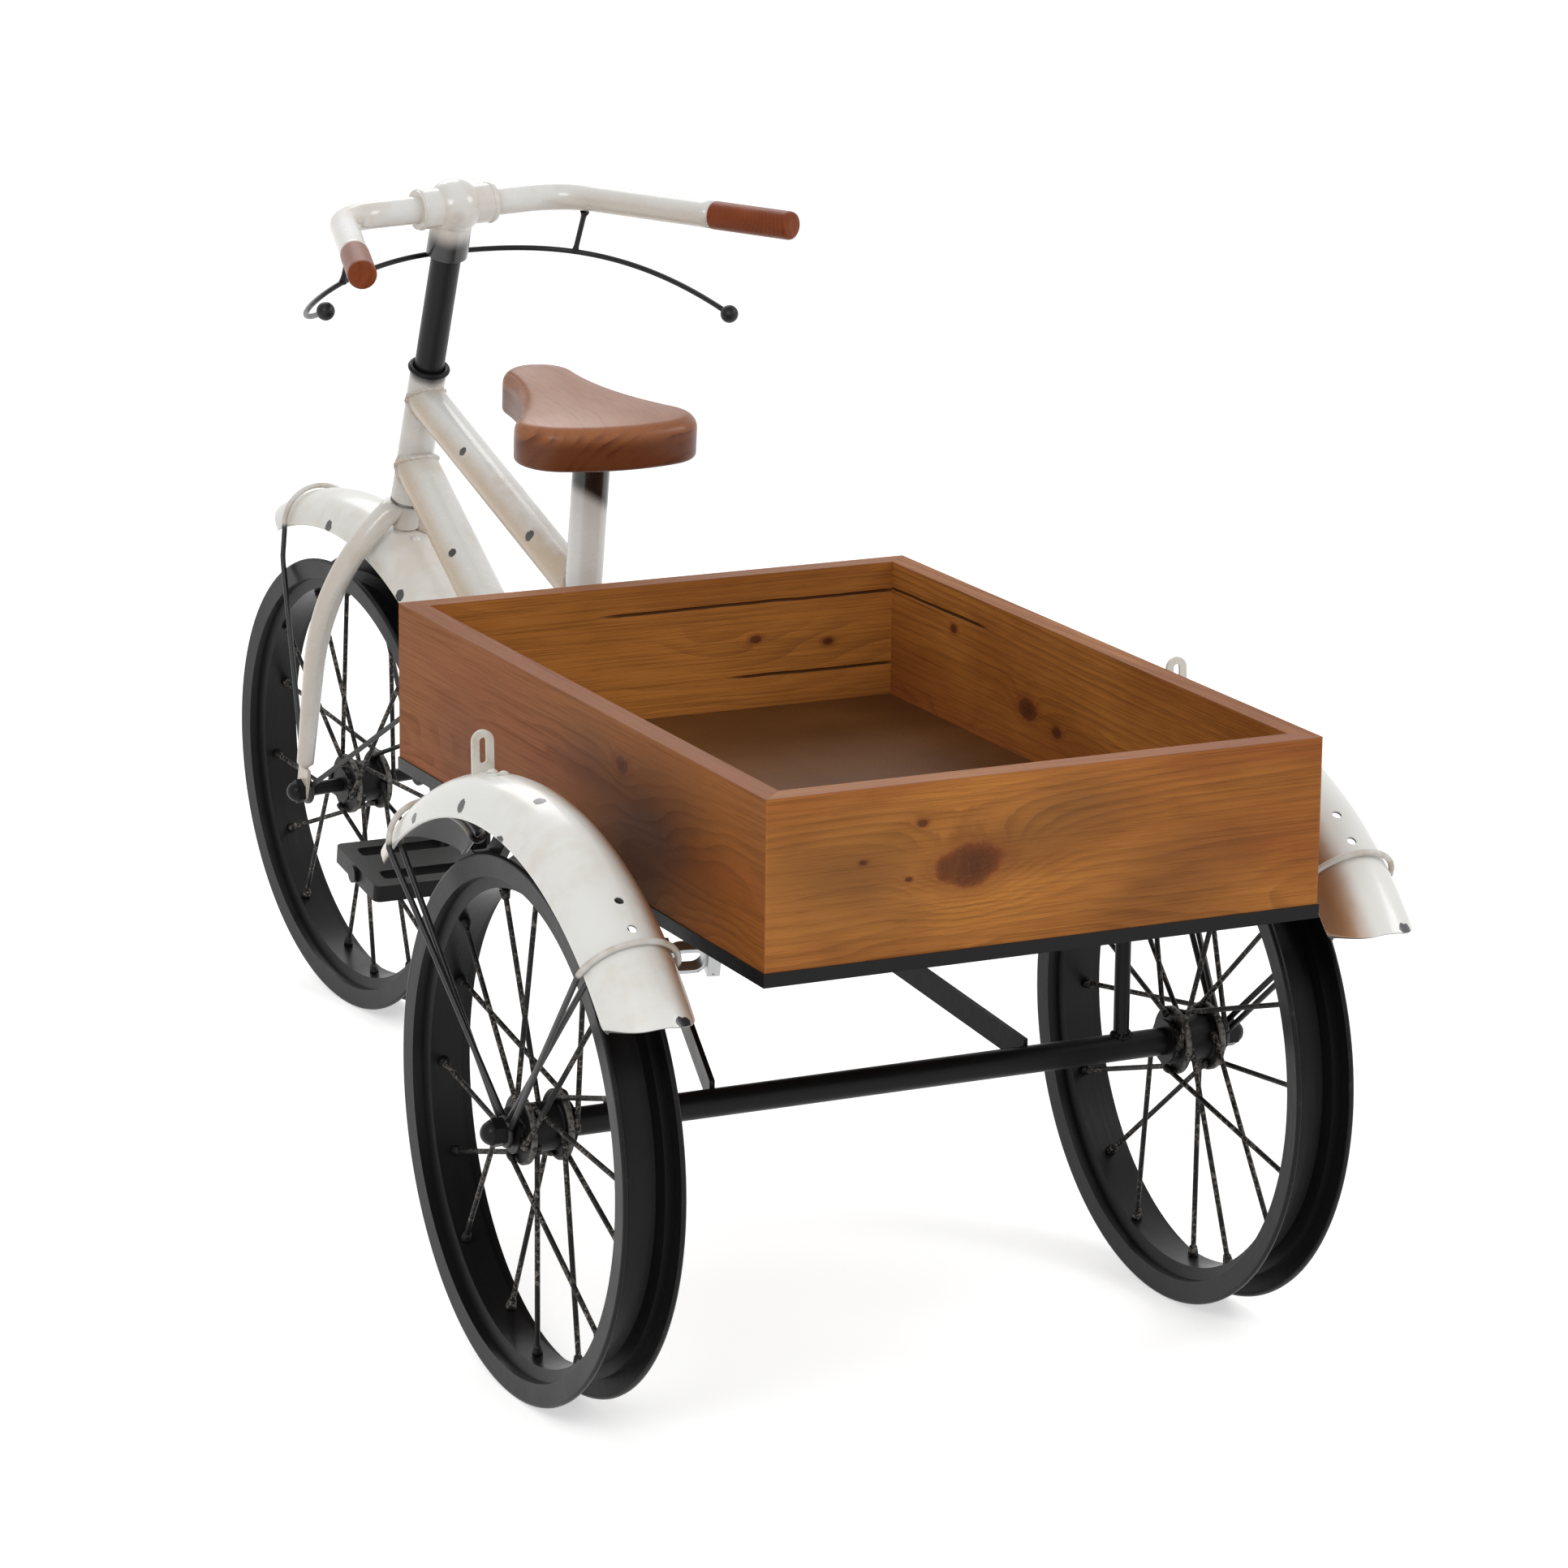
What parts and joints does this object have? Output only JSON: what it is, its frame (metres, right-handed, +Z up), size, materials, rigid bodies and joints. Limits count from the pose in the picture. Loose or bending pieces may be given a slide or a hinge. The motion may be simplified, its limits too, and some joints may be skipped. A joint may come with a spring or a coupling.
{
  "type": "bicycle plant stand",
  "caption": "Three-wheeled cycle planter with a wooden crate over the rear wheels, steered front fork, wooden saddle and swept handlebar.",
  "frame": {"origin": "on the ground, under the middle of the overall width and length", "axes": "+X toward the rider's right, +Y forward, +Z up"},
  "size_m": [0.6478, 1.4291, 0.7569],
  "materials": {
    "cream_enamel": "glossy enamel, rubbed brown and chipped",
    "fender_enamel": "aged white enamel with dark chips",
    "stay_paint": "white over the fender, black below",
    "black_paint": "satin black, worn at the edges",
    "bare_fitting": "bare, scratched",
    "plain_steel": "plain",
    "crate_wood": "waxed boards with knots and cracks",
    "floor_wood": "dark panel",
    "saddle_wood": "varnished",
    "grip_wood": "turned and varnished"
  },
  "bodies": {
    "frame": {"head_tube": "cream_enamel", "frame_bushes": "plain_steel", "head_ring": "cream_enamel", "top_tube": "cream_enamel", "down_tube": "cream_enamel", "seat_tube": "cream_enamel", "crank_shell": "cream_enamel", "saddle_plate": "black_paint", "saddle": "saddle_wood", "wood_screws": "plain_steel", "tray_rail_front": "black_paint", "tray_rail_rear": "black_paint", "tray_rail_left": "black_paint", "tray_rail_right": "black_paint", "tray_bearers": "black_paint", "tray_posts": "black_paint", "stay_strap_left": "black_paint", "stay_strap_right": "black_paint", "rear_axle_tube": "black_paint", "rear_axle_rod": "plain_steel", "rear_axle_washers": "black_paint", "rear_axle_nuts": "black_paint", "crate_board_front": "crate_wood", "crate_board_rear": "crate_wood", "crate_board_left": "crate_wood", "crate_board_right": "crate_wood", "crate_floor": "floor_wood", "rear_fender_left": "fender_enamel", "rear_fender_right": "fender_enamel", "fender_tabs": "fender_enamel", "fender_rivets": "fender_enamel", "rear_fender_stays": "stay_paint", "strap_bracket": "bare_fitting", "bracket_bolt": "bare_fitting"},
    "fork": {"steerer": "black_paint", "fork_blades": "cream_enamel", "fork_dropouts": "cream_enamel", "handlebar_tee": "cream_enamel", "handlebar": "cream_enamel", "grips": "grip_wood", "brake_rod": "black_paint", "brake_rod_knobs": "black_paint", "front_fender": "fender_enamel", "front_fender_bolts": "plain_steel", "front_fender_stays": "stay_paint", "front_axle_rod": "plain_steel", "front_axle_spacers": "black_paint", "front_axle_nuts": "black_paint"},
    "front_wheel": {"rim_front": "black_paint", "spokes_front": "black_paint", "hub_front": "black_paint"},
    "rear_wheel_left": {"rim_left": "black_paint", "spokes_left": "black_paint", "hub_left": "black_paint"},
    "rear_wheel_right": {"rim_right": "black_paint", "spokes_right": "black_paint", "hub_right": "black_paint"},
    "cranks": {"crank_set": "black_paint"},
    "left_pedal": {"pedal_left": "black_paint"},
    "right_pedal": {"pedal_right": "black_paint"}
  },
  "joints": [
    {"name": "steering", "type": "hinge", "parent": "frame", "child": "fork", "pos_m": [0, 0.44066, 0.468], "axis": [0, -0.36, 0.933], "range_deg": [-39.5, 30.5]},
    {"name": "front_wheel_turn", "type": "hinge", "parent": "fork", "child": "front_wheel", "pos_m": [-0.01582, 0.51342, 0.2006], "axis": [0.9969, 0.0732, 0.0282], "continuous": true},
    {"name": "rear_wheel_left_turn", "type": "hinge", "parent": "frame", "child": "rear_wheel_left", "pos_m": [-0.2677, -0.45234, 0.2], "axis": [1, 0, 0], "continuous": true},
    {"name": "rear_wheel_right_turn", "type": "hinge", "parent": "frame", "child": "rear_wheel_right", "pos_m": [0.2677, -0.45234, 0.2], "axis": [1, 0, 0], "continuous": true},
    {"name": "crank_turn", "type": "hinge", "parent": "frame", "child": "cranks", "pos_m": [0, 0.09966, 0.285], "axis": [1, 0, 0], "continuous": true},
    {"name": "pedal_left_turn", "type": "hinge", "parent": "cranks", "child": "left_pedal", "pos_m": [0, 0.15763, 0.22283], "axis": [1, 0, 0], "continuous": true},
    {"name": "pedal_right_turn", "type": "hinge", "parent": "cranks", "child": "right_pedal", "pos_m": [0, 0.04169, 0.34717], "axis": [1, 0, 0], "continuous": true}
  ]
}
